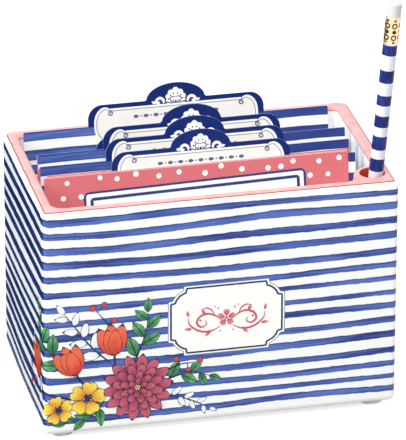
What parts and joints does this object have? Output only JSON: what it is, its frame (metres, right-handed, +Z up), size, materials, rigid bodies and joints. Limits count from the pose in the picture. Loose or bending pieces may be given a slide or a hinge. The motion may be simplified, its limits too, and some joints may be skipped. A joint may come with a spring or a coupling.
{
  "type": "recipe card box",
  "caption": "Open rectangular ceramic card box with leaning tabbed dividers and cards inside, small feet, and a pencil standing in a round well in one corner.",
  "frame": {"origin": "on the table at the centre of the box's footprint, between its four feet", "axes": "+Z up, +X to the right along the long front face, +Y from the front face to the back"},
  "size_m": [0.1841, 0.1046, 0.2159],
  "materials": {
    "glazed_ceramic": "white gloss glaze, painted blue stripes, pink rim",
    "bumper": "soft off-white bumper pad",
    "divider_card": "printed card stock, matt",
    "recipe_card": "printed card, matt, white back",
    "painted_wood": "gloss paint in white and navy bands over wood",
    "graphite": "graphite core, dull",
    "ferrule_brass": "thin brass-coloured sleeve, bright",
    "eraser_vinyl": "white eraser, matt"
  },
  "bodies": {
    "box": {"box_body": "glazed_ceramic", "foot_front_left": "bumper", "foot_front_right": "bumper", "foot_back_left": "bumper", "foot_back_right": "bumper"},
    "divider_1": {"divider_1": "divider_card"},
    "divider_2": {"divider_2": "divider_card"},
    "divider_3": {"divider_3": "divider_card"},
    "divider_4": {"divider_4": "divider_card"},
    "divider_5": {"divider_5": "divider_card"},
    "recipe_card_1": {"recipe_card_1": "recipe_card"},
    "recipe_card_2": {"recipe_card_2": "recipe_card"},
    "recipe_card_3": {"recipe_card_3": "recipe_card"},
    "recipe_card_4": {"recipe_card_4": "recipe_card"},
    "recipe_card_5": {"recipe_card_5": "recipe_card"},
    "recipe_card_6": {"recipe_card_6": "recipe_card"},
    "recipe_card_7": {"recipe_card_7": "recipe_card"},
    "recipe_card_8": {"recipe_card_8": "recipe_card"},
    "pencil": {"pencil_barrel": "painted_wood", "pencil_lead": "graphite", "pencil_ferrule": "ferrule_brass", "pencil_eraser": "eraser_vinyl"}
  },
  "joints": [
    {"name": "divider_1_lift", "type": "slide", "parent": "box", "child": "divider_1", "axis": [0, 0.1564, 0.9877], "range_m": [0, 0.12]},
    {"name": "divider_2_lift", "type": "slide", "parent": "box", "child": "divider_2", "axis": [0, 0.1564, 0.9877], "range_m": [0, 0.12]},
    {"name": "divider_3_lift", "type": "slide", "parent": "box", "child": "divider_3", "axis": [0, 0.1564, 0.9877], "range_m": [0, 0.12]},
    {"name": "divider_4_lift", "type": "slide", "parent": "box", "child": "divider_4", "axis": [0, 0.1564, 0.9877], "range_m": [0, 0.12]},
    {"name": "divider_5_lift", "type": "slide", "parent": "box", "child": "divider_5", "axis": [0, 0.1564, 0.9877], "range_m": [0, 0.12]},
    {"name": "recipe_card_1_lift", "type": "slide", "parent": "box", "child": "recipe_card_1", "axis": [0, 0.1564, 0.9877], "range_m": [0, 0.12]},
    {"name": "recipe_card_2_lift", "type": "slide", "parent": "box", "child": "recipe_card_2", "axis": [0, 0.1564, 0.9877], "range_m": [0, 0.12]},
    {"name": "recipe_card_3_lift", "type": "slide", "parent": "box", "child": "recipe_card_3", "axis": [0, 0.1564, 0.9877], "range_m": [0, 0.12]},
    {"name": "recipe_card_4_lift", "type": "slide", "parent": "box", "child": "recipe_card_4", "axis": [0, 0.1564, 0.9877], "range_m": [0, 0.12]},
    {"name": "recipe_card_5_lift", "type": "slide", "parent": "box", "child": "recipe_card_5", "axis": [0, 0.1564, 0.9877], "range_m": [0, 0.12]},
    {"name": "recipe_card_6_lift", "type": "slide", "parent": "box", "child": "recipe_card_6", "axis": [0, 0.1564, 0.9877], "range_m": [0, 0.12]},
    {"name": "recipe_card_7_lift", "type": "slide", "parent": "box", "child": "recipe_card_7", "axis": [0, 0.1564, 0.9877], "range_m": [0, 0.12]},
    {"name": "recipe_card_8_lift", "type": "slide", "parent": "box", "child": "recipe_card_8", "axis": [0, 0.1564, 0.9877], "range_m": [0, 0.12]},
    {"name": "pencil_lift", "type": "slide", "parent": "box", "child": "pencil", "axis": [0.0875, 0, 0.9962], "range_m": [0, 0.07]}
  ]
}
